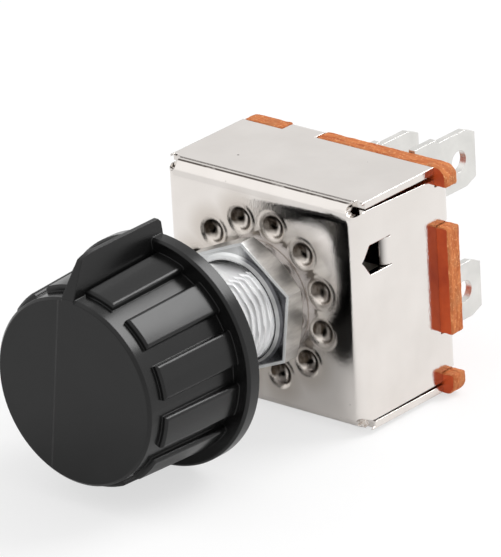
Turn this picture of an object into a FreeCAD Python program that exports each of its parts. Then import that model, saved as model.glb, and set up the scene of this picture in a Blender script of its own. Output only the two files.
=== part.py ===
# A rotary fan speed switch. A folded steel housing is closed at the back by a laminate
# terminal board with four blade terminals. A threaded bushing with washer and nut carries
# the shaft, a ribbed knob turns it, and a rotor inside moves a contact plate over rivets.
# Lengths are millimetres. The origin is on the shaft axis at the outside of the mounting
# face: X points right as seen by the user, Y back towards the terminals, Z up.
import FreeCAD, Part
import math
import os

import Sketcher
from FreeCAD import Placement, Rotation, Vector

document = FreeCAD.newDocument("fan_speed_switch")
sheet = document.addObject("Spreadsheet::Sheet", "sizes")


class Size:
    """A number together with the sheet formula that gives it."""

    def __init__(self, value, formula):
        self.value = value
        self.formula = formula

    def __add__(self, other):
        other = as_size(other)
        return Size(self.value + other.value, f"({self.formula} + {other.formula})")

    def __sub__(self, other):
        other = as_size(other)
        return Size(self.value - other.value, f"({self.formula} - {other.formula})")

    def __mul__(self, other):
        other = as_size(other)
        return Size(self.value * other.value, f"({self.formula} * {other.formula})")

    def __truediv__(self, other):
        other = as_size(other)
        return Size(self.value / other.value, f"({self.formula} / {other.formula})")

    def __neg__(self):
        return Size(-self.value, f"(-{self.formula})")

    __radd__ = __add__
    __rmul__ = __mul__


def as_size(number):
    """A Size from a Size or a bare number."""
    return number if isinstance(number, Size) else Size(float(number), f"({float(number)})")


def root(size):
    """The square root."""
    return Size(math.sqrt(size.value), f"sqrt({size.formula})")


def cosine(degrees):
    """The cosine of an angle in degrees."""
    degrees = as_size(degrees)
    return Size(math.cos(math.radians(degrees.value)), f"cos({degrees.formula})")


def sine(degrees):
    """The sine of an angle in degrees."""
    degrees = as_size(degrees)
    return Size(math.sin(math.radians(degrees.value)), f"sin({degrees.formula})")


def polar(radius, degrees):
    """The point at that radius and angle from the axis."""
    radius = as_size(radius)
    return radius * cosine(degrees), radius * sine(degrees)


rows = []


def size(name, value, note):
    """A driving dimension: a row of the sheet with its name, value and meaning."""
    rows.append(name)
    row = len(rows)
    sheet.set(f"A{row}", name)
    sheet.set(f"B{row}", str(value))
    sheet.set(f"C{row}", note)
    sheet.setAlias(f"B{row}", name)
    return Size(float(value), f"sizes.{name}")


# The folded housing
housing_width = size("housing_width", 25.8, "outside, left to right")
housing_height = size("housing_height", 25.4, "outside, bottom to top")
housing_depth = size("housing_depth", 13.0, "mounting face to front of the board")
axis_left = size("axis_left", 0.6, "shaft axis left of the middle of the face")
axis_below = size("axis_below", 0.35, "shaft axis below the middle of the face")
sheet_thickness = size("sheet_thickness", 0.8, "steel sheet")
bend_radius = size("bend_radius", 1.35, "outside of the folds")
seam_gap = size("seam_gap", 0.2, "between a flap and the side panel under it")
flap_start = size("flap_start", 1.1, "where the flaps reach full width")
relief_radius = size("relief_radius", 0.75, "round relief at each front corner")
relief_inset = size("relief_inset", 0.65, "middle of a relief from both outside faces")
relief_depth = size("relief_depth", 0.5, "relief past the start of a flap")
seam_opening = size("seam_opening", 0.4, "how far a top seam opens towards the back")
seam_opening_low = size("seam_opening_low", 0.15, "how far a bottom seam opens towards the back")
lip_length = size("lip_length", 2.4, "lip folded over the board")
lip_radius = size("lip_radius", 1.5, "outside of the fold of a lip")
lip_clearance = size("lip_clearance", 0.1, "between a lip and its notch in the board")

# The ring of detent dimples
dimple_ring = size("dimple_ring", 8.53, "radius of the ring")
dimple_count = size("dimple_count", 12, "dimples in the ring")
dimple_radius = size("dimple_radius", 1.3, "mouth of a dimple")
dimple_floor = size("dimple_floor", 1.05, "radius where the wall meets the floor")
dimple_depth = size("dimple_depth", 0.95, "depth from the outside")
dimple_wall = size("dimple_wall", 0.5, "depth of the steep wall")
dimple_rim = size("dimple_rim", 0.09, "raised rim around a dimple")
dimple_rim_radius = size("dimple_rim_radius", 1.95, "outside of the rim")
bump_radius = size("bump_radius", 1.75, "foot of the bump inside")
bump_height = size("bump_height", 0.85, "bump above the inside of the sheet")

# The lanced window and its tongue
window_middle = size("window_middle", 6.45, "height of the window above the axis")
window_height = size("window_height", 3.3, "bottom to top")
window_back = size("window_back", 5.5, "hinge of the tongue behind the face")
window_straight = size("window_straight", 3.5, "hinge to the foot of the point")
window_point = size("window_point", 1.2, "length of the point")
tongue_angle = size("tongue_angle", 85, "bend of the tongue, degrees")
tongue_bend = size("tongue_bend", 1.1, "outside radius of the tongue's bend")
tongue_gap = size("tongue_gap", 0.12, "tongue smaller than its window all round")

# The terminal board
board_thickness = size("board_thickness", 2.0, "laminate")
board_right = size("board_right", 1.5, "tabs past the right panel")
board_left = size("board_left", 0.6, "tabs past the left panel")
board_top = size("board_top", 0.1, "tabs above the top flap")
board_bottom = size("board_bottom", 0.25, "tabs below the bottom flap")
board_corner = size("board_corner", 0.8, "cut corners of the board")
side_notch_inner = size("side_notch_inner", 6.05, "middle of the face to a side notch")
side_notch_outer = size("side_notch_outer", 2.15, "outside of the flaps to a side notch")
top_notch_inner = size("top_notch_inner", 2.9, "middle of the face to the top notch")
top_notch_outer = size("top_notch_outer", 7.6, "middle of the face to its far end")

# The bushing with washer and nut
thread_radius = size("thread_radius", 5.556, "crest of the bushing thread")
bushing_length = size("bushing_length", 9.5, "bushing in front of the face")
bushing_chamfer = size("bushing_chamfer", 0.5, "front edge of the bushing")
bushing_flat = size("bushing_flat", 4.8, "height of the flat above the axis")
bushing_flange = size("bushing_flange", 6.7, "radius of the flange inside")
flange_thickness = size("flange_thickness", 1.2, "flange inside the housing")
hole_clearance = size("hole_clearance", 0.05, "bushing in its hole, washer and nut")
washer_radius = size("washer_radius", 6.5, "outside of the washer")
washer_thickness = size("washer_thickness", 1.1, "washer")
washer_edge = size("washer_edge", 0.1, "softened edges of the washer")
nut_flats = size("nut_flats", 13.4, "across the flats")
nut_thickness = size("nut_thickness", 2.7, "nut")
nut_turn = size("nut_turn", 22.4, "first corner from X, degrees")
nut_boss_base = size("nut_boss_base", 6.2, "foot of the raised boss on the front")
nut_boss_crown = size("nut_boss_crown", 5.75, "front edge of the boss")
nut_boss_height = size("nut_boss_height", 0.65, "boss above the front of the nut")
bevel_slope = size("bevel_slope", 0.577, "rise of the back bevel over its width")

# The shaft
shaft_radius = size("shaft_radius", 3.175, "quarter inch shaft")
running_fit = size("running_fit", 0.05, "shaft in its bore")
shaft_front = size("shaft_front", 27.2, "front end ahead of the face")
shaft_flat = size("shaft_flat", 2.3, "height of the flat above the axis")
shaft_flat_past = size("shaft_flat_past", 1.8, "flat behind the hub of the knob")
collar_radius = size("collar_radius", 4.6, "thrust collar of the shaft")
collar_thickness = size("collar_thickness", 1.0, "thrust collar")
drive_flat = size("drive_flat", 2.2, "half width of the drive end")
drive_floor = size("drive_floor", 1.55, "drive end to the back of the rotor")

# The stops at both ends of the travel
turn_range = size("turn_range", 90, "travel of the knob, degrees")
finger_angle = size("finger_angle", 24, "stop finger of the shaft, degrees")
finger_radius = size("finger_radius", 6.4, "end of the finger from the axis")
stop_margin_angle = size("stop_margin_angle", 1.5, "finger to wall at a stop, degrees")
stop_wall = size("stop_wall", 6.6, "outside of the stop wall on the bushing")
stop_clearance = size("stop_clearance", 0.25, "stop wall around the collar")

# The rotor
rotor_radius = size("rotor_radius", 10.9, "rotor")
rotor_edge = size("rotor_edge", 0.6, "bevelled edges of the rotor")
rotor_front = size("rotor_front", 2.3, "front ring behind the face")
contact_space = size("contact_space", 5.2, "rotor to board")
rotor_recess = size("rotor_recess", 6.95, "radius of the front recess")
axial_clearance = size("axial_clearance", 0.25, "between the collar and the rotor")
post_ring = size("post_ring", 5.2, "drive posts from the axis")
post_radius = size("post_radius", 1.0, "drive post")
post_length = size("post_length", 3.7, "drive post behind the rotor")
seat_depth = size("seat_depth", 0.6, "seat of the contact spring")

# The detents
ball_radius = size("ball_radius", 1.1, "detent ball")
ball_clearance = size("ball_clearance", 0.05, "ball in its hole and over the bumps")
ball_floor = size("ball_floor", 0.5, "floor of a ball hole")
detent_wire = size("detent_wire", 0.3, "wire of a detent spring")
detent_turns = size("detent_turns", 3, "turns of a detent spring")

# The contacts
contact_ring = size("contact_ring", 7.0, "contact rivets from the axis")
detent_angle = size("detent_angle", 30, "one position, degrees")
plate_thickness = size("plate_thickness", 0.5, "contact plate")
plate_hub = size("plate_hub", 6.5, "radius of the middle of the plate")
plate_arm = size("plate_arm", 8.4, "end of an arm from the axis")
plate_arm_width = size("plate_arm_width", 2.8, "arm")
plate_bump = size("plate_bump", 0.65, "height of a contact bump")
plate_bump_radius = size("plate_bump_radius", 0.9, "foot of a contact bump")
contact_gap = size("contact_gap", 0.05, "bump to rivet head")
contact_wire = size("contact_wire", 0.5, "wire of the contact spring")
contact_spring_radius = size("contact_spring_radius", 3.0, "middle of the wire")
contact_turns = size("contact_turns", 3, "turns of the contact spring")
rivet_head = size("rivet_head", 1.6, "radius of a rivet head")
rivet_head_height = size("rivet_head_height", 0.6, "rivet head")
rivet_shank = size("rivet_shank", 0.9, "radius of a rivet shank")
rivet_clearance = size("rivet_clearance", 0.02, "shank in its holes")
rivet_clinch = size("rivet_clinch", 1.5, "radius of the clinched end")

# The blade terminals
blade_width = size("blade_width", 6.35, "quarter inch blade")
blade_thickness = size("blade_thickness", 0.8, "terminal strip")
blade_tip = size("blade_tip", 10.0, "blade tip behind the board")
blade_step = size("blade_step", 3.9, "shoulder of the blade behind the board")
shoulder_width = size("shoulder_width", 7.25, "blade at its shoulder")
shoulder_cut = size("shoulder_cut", 0.3, "cut corner of the shoulder")
tip_cut_length = size("tip_cut_length", 1.6, "lead-in of the tip, along the blade")
tip_cut_width = size("tip_cut_width", 0.65, "lead-in of the tip, across the blade")
blade_hole = size("blade_hole", 1.2, "radius of the blade hole")
blade_hole_place = size("blade_hole_place", 2.77, "blade hole before the tip")
foot_margin = size("foot_margin", 1.75, "foot around its rivet")
low_right = size("low_right", 9.4, "right face of the blade from the axis")
low_middle = size("low_middle", 9.7, "middle of the blade above the axis")
supply_right = size("supply_right", 1.75, "right face of the blade from the axis")
supply_middle = size("supply_middle", 7.9, "middle of the blade above the axis")
high_middle = size("high_middle", 5.1, "middle of the blade below the axis")
medium_left = size("medium_left", 7.0, "right face of the blade left of the axis")
medium_middle = size("medium_middle", 4.6, "middle of the blade below the axis")

# The knob
knob_front = size("knob_front", 29.87, "front of the knob ahead of the face")
knob_back = size("knob_back", 15.2, "back of the knob ahead of the face")
skirt_thickness = size("skirt_thickness", 1.9, "skirt at the back")
skirt_radius = size("skirt_radius", 12.68, "skirt")
skirt_edge = size("skirt_edge", 0.25, "softened edges of the skirt")
knob_front_radius = size("knob_front_radius", 10.25, "front face")
knob_edge = size("knob_edge", 0.3, "softened edge of the front")
knob_root_radius = size("knob_root_radius", 10.6, "body where it meets the skirt")
knob_wall = size("knob_wall", 1.6, "wall of the knob")
knob_web = size("knob_web", 2.0, "front plate of the knob")
hub_radius = size("hub_radius", 5.2, "hub inside the knob")
hub_back = size("hub_back", 16.0, "back of the hub ahead of the face")
bore_end = size("bore_end", 27.3, "end of the bore ahead of the face")
knob_rib = size("knob_rib", 1.0, "ribs inside the knob")
grip_count = size("grip_count", 12, "grip pads around the knob")
grip_angle = size("grip_angle", 20, "grip pad, degrees")
grip_front = size("grip_front", 28.0, "front of the pads ahead of the face")
grip_front_radius = size("grip_front_radius", 10.95, "pads at the front")
grip_back_radius = size("grip_back_radius", 11.4, "pads at the skirt")
grip_edge = size("grip_edge", 0.4, "rounded long edges of the pads")
grip_bevel = size("grip_bevel", 0.25, "bevelled front edge of the pads")
pointer_top = size("pointer_top", 14.25, "ridge of the pointer above the axis")
pointer_set_back = size("pointer_set_back", 2.27, "top of the front slope behind the knob's front")
pointer_drop = size("pointer_drop", 0.4, "top of the front slope below the ridge")
pointer_bow = size("pointer_bow", 2.0, "rounded stretch from the slope to the ridge")
pointer_foot = size("pointer_foot", 10.2, "foot of the pointer above the axis")
pointer_ridge = size("pointer_ridge", 0.5, "thickness of the pointer at its ridge")
pointer_base = size("pointer_base", 1.6, "thickness of the pointer at its foot")
pointer_tail = size("pointer_tail", 0.4, "cut corner at the back of the ridge")
clip_thickness = size("clip_thickness", 0.4, "spring clip in the bore")
clip_width = size("clip_width", 3.0, "spring clip")
clip_tail = size("clip_tail", 1.2, "bent tail of the clip")

document.recompute()

# Places that several pieces share
middle_x = axis_left
middle_z = axis_below
left = middle_x - housing_width / 2
right = middle_x + housing_width / 2
bottom = middle_z - housing_height / 2
top = middle_z + housing_height / 2
side_notch_end = housing_height / 2 - side_notch_outer
board_front = housing_depth
board_back = housing_depth + board_thickness
rotor_back = board_front - contact_space
ball_hole_end = rotor_back - ball_floor
zero = as_size(0)
quarter = as_size(90)
full_turn = as_size(360)


def bind(target, field, number):
    """Sets a field and ties it to the sheet."""
    number = as_size(number)
    setattr(target, field, number.value)
    target.setExpression(field, number.formula)


def new_body(label):
    """An empty body with its label."""
    body = document.addObject("PartDesign::Body", label)
    body.Label = label
    return body


def finish(body, feature):
    """Makes the feature the end of its body and works it out."""
    body.Tip = feature
    document.recompute()
    return feature


def origin_item(body, role):
    """One of the body's own origin planes or axes."""
    return [item for item in body.Origin.OriginFeatures if item.Role == role][0]


def sketch_on(body, plane, offset=zero, turn=0):
    """An empty sketch on an origin plane, moved along its normal, turned about its upright."""
    sketch = body.newObject("Sketcher::SketchObject", f"{body.Label}_sketch")
    sketch.AttachmentSupport = (origin_item(body, plane), [""])
    sketch.MapMode = "FlatFace"
    turned_plane = Rotation(Vector(0, 1, 0), turn)
    sketch.AttachmentOffset = Placement(Vector(0, 0, offset.value), turned_plane)
    sketch.setExpression(".AttachmentOffset.Base.z", offset.formula)
    return sketch


class Arc:
    """Marks a side of an outline as a round stretch. The centre is left or right of it."""

    def __init__(self, radius, centre_side):
        self.radius = as_size(radius)
        self.centre_side = centre_side


LEFT = 1
RIGHT = -1


def rounded(corner_x, corner_y, radius, into, out, centre_side):
    """The rounded corner of an outline between two directions along the axes."""
    enter = (corner_x - radius * into[0], corner_y - radius * into[1])
    leave = (corner_x + radius * out[0], corner_y + radius * out[1])
    return [enter, Arc(radius, centre_side), leave]


def pin_point(sketch, item, spot, point):
    """Holds a point of the sketch at its two distances from the origin."""
    for kind, distance in zip(("DistanceX", "DistanceY"), point):
        number = sketch.addConstraint(Sketcher.Constraint(kind, item, spot, distance.value))
        sketch.setExpression(f"Constraints[{number}]", distance.formula)


def add_arc(sketch, start, end, arc):
    """A round stretch between two points of an outline."""
    chord = end - start
    reach = math.sqrt(arc.radius.value ** 2 - (chord.Length / 2) ** 2)
    across = Vector(-chord.y, chord.x, 0).normalize() * (reach * arc.centre_side)
    centre = start + chord / 2 + across
    first, last = (start, end) if arc.centre_side == LEFT else (end, start)
    angles = [math.atan2(spot.y - centre.y, spot.x - centre.x) for spot in (first, last)]
    circle = Part.Circle(centre, Vector(0, 0, 1), arc.radius.value)
    return sketch.addGeometry(Part.ArcOfCircle(circle, angles[0], angles[1]), False)


def outline(sketch, path):
    """Draws a closed outline: points, with an Arc between two points that a bend joins."""
    points = []
    arcs = []
    for item in path:
        if isinstance(item, Arc):
            arcs[-1] = item
        else:
            points.append((as_size(item[0]), as_size(item[1])))
            arcs.append(None)
    pieces = []
    for index, point in enumerate(points):
        following = points[(index + 1) % len(points)]
        start = Vector(point[0].value, point[1].value, 0)
        end = Vector(following[0].value, following[1].value, 0)
        if arcs[index]:
            item = add_arc(sketch, start, end, arcs[index])
            ends = (1, 2) if arcs[index].centre_side == LEFT else (2, 1)
        else:
            item = sketch.addGeometry(Part.LineSegment(start, end), False)
            ends = (1, 2)
        pieces.append((item, ends))
    for index, (item, ends) in enumerate(pieces):
        following, following_ends = pieces[(index + 1) % len(pieces)]
        joint = Sketcher.Constraint("Coincident", item, ends[1], following, following_ends[0])
        sketch.addConstraint(joint)
        pin_point(sketch, item, ends[0], points[index])
        if arcs[index]:
            radius = arcs[index].radius
            number = sketch.addConstraint(Sketcher.Constraint("Radius", item, radius.value))
            sketch.setExpression(f"Constraints[{number}]", radius.formula)


def ring_outline(sketch, centre, radius):
    """Draws a circle."""
    radius = as_size(radius)
    centre = (as_size(centre[0]), as_size(centre[1]))
    middle = Vector(centre[0].value, centre[1].value, 0)
    item = sketch.addGeometry(Part.Circle(middle, Vector(0, 0, 1), radius.value), False)
    pin_point(sketch, item, 3, centre)
    number = sketch.addConstraint(Sketcher.Constraint("Radius", item, radius.value))
    sketch.setExpression(f"Constraints[{number}]", radius.formula)


def prism(body, plane, low, high, draw, cut=False):
    """Adds or cuts a straight block between two places along the axis across the plane."""
    low = as_size(low)
    high = as_size(high)
    if plane == "XZ_Plane":
        place = -low if cut else -high
    else:
        place = high if cut else low
    sketch = sketch_on(body, plane, place)
    draw(sketch)
    kind = "PartDesign::Pocket" if cut else "PartDesign::Pad"
    feature = body.newObject(kind, f"{body.Label}_block")
    feature.Profile = sketch
    bind(feature, "Length", high - low)
    return finish(body, feature)


def block(body, plane, low, high, path, cut=False):
    """A straight block with a closed outline."""
    return prism(body, plane, low, high, lambda sketch: outline(sketch, path), cut)


def plug(body, plane, low, high, centre, radius, cut=False):
    """A straight round block."""
    return prism(body, plane, low, high, lambda sketch: ring_outline(sketch, centre, radius), cut)


def box_path(low_x, high_x, low_y, high_y):
    """The outline of a rectangle."""
    return [(low_x, low_y), (high_x, low_y), (high_x, high_y), (low_x, high_y)]


def turned(body, path, cut=False, centre=None, sweep=None, turn=0):
    """Adds or cuts a shape turned about an axis along Y, from radius and Y pairs."""
    sketch = sketch_on(body, "XY_Plane", zero, turn)
    outline(sketch, path)
    axis = "V_Axis"
    if centre is not None:
        foot = Vector(centre.value, 0, 0)
        item = sketch.addGeometry(Part.LineSegment(foot, foot + Vector(0, 1, 0)), True)
        pin_point(sketch, item, 1, (centre, zero))
        pin_point(sketch, item, 2, (centre, as_size(1)))
        axis = "Axis0"
    kind = "PartDesign::Groove" if cut else "PartDesign::Revolution"
    feature = body.newObject(kind, f"{body.Label}_turning")
    feature.Profile = sketch
    feature.ReferenceAxis = (sketch, [axis])
    if sweep is not None:
        feature.Midplane = True
        bind(feature, "Angle", sweep)
    return finish(body, feature)


def repeat(body, features, count):
    """Repeats features evenly around the shaft axis."""
    pattern = body.newObject("PartDesign::PolarPattern", f"{body.Label}_pattern")
    pattern.Originals = features
    pattern.Axis = (origin_item(body, "Y_Axis"), [""])
    pattern.Angle = 360
    count = as_size(count)
    pattern.Occurrences = int(round(count.value))
    pattern.setExpression("Occurrences", count.formula)
    return finish(body, pattern)


def soften(body, kind, amount, chosen):
    """Rounds or bevels the edges of the body that the test picks."""
    base = body.Tip
    edges = base.Shape.Edges
    names = [f"Edge{index + 1}" for index, edge in enumerate(edges) if chosen(edge)]
    feature = body.newObject(f"PartDesign::{kind}", f"{body.Label}_{kind.lower()}")
    feature.Base = (base, names)
    bind(feature, "Radius" if kind == "Fillet" else "Size", amount)
    return finish(body, feature)


def ends_of(edge):
    """Both end points of an edge."""
    return [vertex.Point for vertex in edge.Vertexes]


def put(body, x, y, z):
    """Moves a finished piece to its place."""
    for name, distance in zip("xyz", (as_size(x), as_size(y), as_size(z))):
        body.setExpression(f".Placement.Base.{name}", distance.formula)
    document.recompute()
    return body


# Housing: one folded sheet with four flaps, lips over the board, dimples and a lanced tongue
lip_back = board_back + sheet_thickness
side_low = bottom + sheet_thickness + seam_gap
side_high = top - sheet_thickness - seam_gap


def folded_strip(body, plane, low, high, first, last):
    """Two flaps and the panel between them, as one bent strip."""
    inner = bend_radius - sheet_thickness
    path = [(housing_depth, first), *rounded_strip(first, last, zero, bend_radius, RIGHT)]
    path += [(housing_depth, last), (housing_depth, last - sheet_thickness)]
    inside = rounded_strip(last - sheet_thickness, first + sheet_thickness,
                           sheet_thickness, inner, LEFT)
    path += [*inside, (housing_depth, first + sheet_thickness)]
    if plane == "XY_Plane":
        path = [item if isinstance(item, Arc) else (item[1], item[0]) for item in path]
        path = [Arc(item.radius, -item.centre_side) if isinstance(item, Arc) else item
                for item in path]
    block(body, plane, low, high, path)


def rounded_strip(begin, end, face, radius, centre_side):
    """The two rounded corners of a strip, as depth and height pairs."""
    way = 1 if end.value > begin.value else -1
    first_corner = rounded(face, begin, radius, (-1, 0), (0, way), centre_side)
    last_corner = rounded(face, end, radius, (0, way), (1, 0), centre_side)
    return first_corner + last_corner


def lip(body, plane, low, high, wall, way):
    """A lip that runs back from a panel and folds over the board."""
    fold = lip_radius
    inner = lip_radius - sheet_thickness
    inside = wall - sheet_thickness * way
    end = wall - lip_length * way
    start = housing_depth - sheet_thickness
    side = LEFT if way > 0 else RIGHT
    path = [(start, wall), (lip_back - fold, wall), Arc(fold, -side), (lip_back, wall - fold * way),
            (lip_back, end), (lip_back - sheet_thickness, end),
            (lip_back - sheet_thickness, wall - fold * way), Arc(inner, side),
            (lip_back - fold, inside), (start, inside)]
    if plane == "XY_Plane":
        path = [Arc(item.radius, -item.centre_side) if isinstance(item, Arc)
                else (item[1], item[0]) for item in path]
    block(body, plane, low, high, path)


def window_outline(gap):
    """The pointed window in a side panel, as depth and height pairs."""
    half = window_height / 2 - gap
    foot = window_back - window_straight
    tip = foot - window_point + gap
    low = window_middle - half
    high = window_middle + half
    return [(window_back, low), (foot, low), (tip, window_middle), (foot, high), (window_back, high)]


def make_housing():
    body = new_body("housing")
    folded_strip(body, "YZ_Plane", left + bend_radius, right - bend_radius, bottom, top)
    folded_strip(body, "XY_Plane", side_low, side_high, left, right)
    for low, high in ((bottom, bottom + sheet_thickness), (top - sheet_thickness, top)):
        flap = box_path(left, right, flap_start, housing_depth)
        block(body, "XY_Plane", low, high, flap)
    for way in (1, -1):
        for side in (1, -1):
            near = middle_z + (side_notch_inner + lip_clearance) * side
            far = middle_z + (side_notch_end - lip_clearance) * side
            low, high = (near, far) if side > 0 else (far, near)
            lip(body, "XY_Plane", low, high, right if way > 0 else left, way)
        low = middle_x - top_notch_outer + lip_clearance
        high = middle_x - top_notch_inner - lip_clearance
        lip(body, "YZ_Plane", low, high, top if way > 0 else bottom, way)
    for x in (left + relief_inset, right - relief_inset):
        for z in (bottom + relief_inset, top - relief_inset):
            relief_back = flap_start + relief_depth
            plug(body, "XZ_Plane", -sheet_thickness, relief_back, (x, z), relief_radius, True)
    for edge, way, opening in ((side_high, 1, seam_opening), (side_low, -1, seam_opening_low)):
        over = edge + seam_gap / 2 * way
        seam = [(bend_radius, edge), (housing_depth, edge - opening * way),
                (housing_depth, over), (bend_radius, over)]
        block(body, "YZ_Plane", left - sheet_thickness, right + sheet_thickness, seam, True)
    window_low = right - sheet_thickness - bend_radius
    block(body, "YZ_Plane", window_low, right + sheet_thickness, window_outline(zero), True)
    add_tongue(body)
    add_dimples(body)
    hole = thread_radius + hole_clearance
    flat = bushing_flat + hole_clearance
    block(body, "XZ_Plane", -sheet_thickness, sheet_thickness * 2, flatted(hole, flat), True)
    return body


def add_tongue(body):
    """The lanced tongue, bent in about its root at the back of the window."""
    inner = tongue_bend - sheet_thickness
    across = cosine(tongue_angle)
    along = sine(tongue_angle)
    centre = right - tongue_bend
    used = tongue_bend * tongue_angle * as_size(math.pi / 180)
    reach = window_straight + window_point - tongue_gap - used
    outer_x = centre + tongue_bend * across
    outer_y = window_back - tongue_bend * along
    inner_x = centre + inner * across
    inner_y = window_back - inner * along
    root_in = right - sheet_thickness
    root_back = window_back + sheet_thickness
    path = [(right, root_back), (right, window_back), Arc(tongue_bend, RIGHT), (outer_x, outer_y),
            (outer_x - reach * along, outer_y - reach * across),
            (inner_x - reach * along, inner_y - reach * across), (inner_x, inner_y),
            Arc(inner, LEFT), (root_in, window_back), (root_in, root_back)]
    low = window_middle - window_height / 2 + tongue_gap
    high = window_middle + window_height / 2 - tongue_gap
    block(body, "XY_Plane", low, high, path)
    front = inner_x - reach * along - tongue_gap
    shoulder = outer_x - (reach - window_point) * along
    for edge in (low, high):
        corner = [(front, edge), (shoulder, edge), (front, window_middle)]
        block(body, "XZ_Plane", sheet_thickness, window_back, corner, True)


def add_dimples(body):
    """A dimple pressed in from outside with a raised rim, its bump inside, and the ring of them."""
    centre = dimple_ring
    inside = sheet_thickness + bump_height
    rim_middle = (dimple_radius + dimple_rim_radius) / 2
    rim_bow = bowed((dimple_rim_radius - dimple_radius) / 2, dimple_rim)
    bump_path = [(centre, -dimple_rim), (centre + rim_middle, -dimple_rim), Arc(rim_bow, LEFT),
                 (centre + dimple_rim_radius, zero), (centre + bump_radius, sheet_thickness),
                 Arc(bowed(bump_radius, bump_height), LEFT), (centre, inside)]
    bump = turned(body, bump_path, centre=centre, turn=-15)
    cup_path = [(centre, -dimple_rim * 2), (centre + rim_middle, -dimple_rim * 2),
                (centre + rim_middle, -dimple_rim), Arc(rim_bow, LEFT),
                (centre + dimple_radius, dimple_rim), (centre + dimple_floor, dimple_wall),
                Arc(bowed(dimple_floor, dimple_depth - dimple_wall), LEFT), (centre, dimple_depth)]
    cup = turned(body, cup_path, cut=True, centre=centre, turn=-15)
    repeat(body, [bump, cup], dimple_count)


def bowed(half_width, rise):
    """The radius of a bow over a chord."""
    return (half_width * half_width + rise * rise) / (rise * 2)


def flatted(radius, flat):
    """A circle with a flat at the top, from the flat's left end round the bottom."""
    half = root(radius * radius - flat * flat)
    return [(-half, flat), Arc(radius, LEFT), (zero, -radius), Arc(radius, LEFT), (half, flat)]


# Terminal board
def make_board():
    body = new_body("terminal_board")
    low_x = left - board_left
    high_x = right + board_right
    low_z = bottom - board_bottom
    high_z = top + board_top
    block(body, "XZ_Plane", board_front, board_back, box_path(low_x, high_x, low_z, high_z))
    past = board_corner
    for side in (1, -1):
        near = middle_z + side_notch_inner * side
        far = middle_z + side_notch_end * side
        low, high = (near, far) if side > 0 else (far, near)
        reach = right - lip_radius - lip_clearance
        notch = box_path(reach, high_x + past, low, high)
        block(body, "XZ_Plane", board_front, board_back, notch, True)
        reach = left + lip_radius + lip_clearance
        notch = box_path(low_x - past, reach, low, high)
        block(body, "XZ_Plane", board_front, board_back, notch, True)
    low = middle_x - top_notch_outer
    high = middle_x - top_notch_inner
    reach = top - lip_radius - lip_clearance
    block(body, "XZ_Plane", board_front, board_back, box_path(low, high, reach, high_z + past), True)
    reach = bottom + lip_radius + lip_clearance
    block(body, "XZ_Plane", board_front, board_back, box_path(low, high, low_z - past, reach), True)
    for x, z in rivet_places():
        hole = rivet_shank + rivet_clearance
        plug(body, "XZ_Plane", board_front, board_back, (x, z), hole, True)

    def corner(edge):
        points = ends_of(edge)
        return all(abs(abs(point.x - middle_x.value) - half_width(point).value) < 0.01
                   and abs(abs(point.z - middle_z.value) - half_height(point).value) < 0.01
                   for point in points)

    def half_width(point):
        return (high_x - middle_x) if point.x > middle_x.value else (middle_x - low_x)

    def half_height(point):
        return (high_z - middle_z) if point.z > middle_z.value else (middle_z - low_z)

    soften(body, "Chamfer", board_corner, corner)
    return body


def rivet_places():
    """Supply rivet on the axis, then low, high and medium on the contact ring."""
    low = polar(contact_ring, detent_angle)
    high = polar(contact_ring, -detent_angle)
    medium = polar(contact_ring, detent_angle * 8)
    return [(zero, zero), low, high, medium]


# Bushing, washer and nut. A wall behind the flange stops the finger of the shaft.
collar_front = sheet_thickness + flange_thickness + running_fit
collar_back = collar_front + collar_thickness
drive_end = rotor_back - drive_floor


def make_bushing():
    body = new_body("bushing")
    bore = shaft_radius + running_fit
    front = -bushing_length
    inside = sheet_thickness + flange_thickness
    turned(body, [(bore, front), (thread_radius - bushing_chamfer, front),
                  (thread_radius, front + bushing_chamfer), (thread_radius, sheet_thickness),
                  (bushing_flange, sheet_thickness), (bushing_flange, inside), (bore, inside)])
    over = thread_radius * 2
    flat = box_path(-over, over, bushing_flat, over)
    block(body, "XZ_Plane", front, sheet_thickness, flat, True)
    near = collar_radius + stop_clearance
    first = quarter + (turn_range + finger_angle) / 2 + stop_margin_angle
    last = full_turn + quarter * 2 - first
    middle = (first + last) / 2
    wall = [polar(stop_wall, first), Arc(stop_wall, LEFT), polar(stop_wall, middle),
            Arc(stop_wall, LEFT), polar(stop_wall, last), polar(near, last), Arc(near, RIGHT),
            polar(near, middle), Arc(near, RIGHT), polar(near, first)]
    block(body, "XZ_Plane", inside, collar_back, wall)
    return body


def make_washer():
    body = new_body("washer")
    bore = thread_radius + hole_clearance
    edge = washer_edge
    front = -washer_thickness
    turned(body, [(bore, front), (washer_radius - edge, front), (washer_radius, front + edge),
                  (washer_radius, -edge), (washer_radius - edge, zero), (bore, zero)])
    return body


def make_nut():
    body = new_body("mounting_nut")
    back = -washer_thickness
    front = back - nut_thickness
    corner_radius = nut_flats / as_size(math.sqrt(3))
    corners = [polar(corner_radius, nut_turn + 60 * step) for step in range(6)]
    block(body, "XZ_Plane", front, back, corners)
    bore = thread_radius + hole_clearance
    plug(body, "XZ_Plane", front, back, (zero, zero), bore, True)
    crown = front - nut_boss_height
    turned(body, [(bore, front), (nut_boss_base, front), (nut_boss_crown, crown), (bore, crown)])
    past = nut_flats
    wide = past - washer_radius
    turned(body, [(washer_radius, back), (past, back - wide * bevel_slope), (past, back)], True)
    return body


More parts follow.
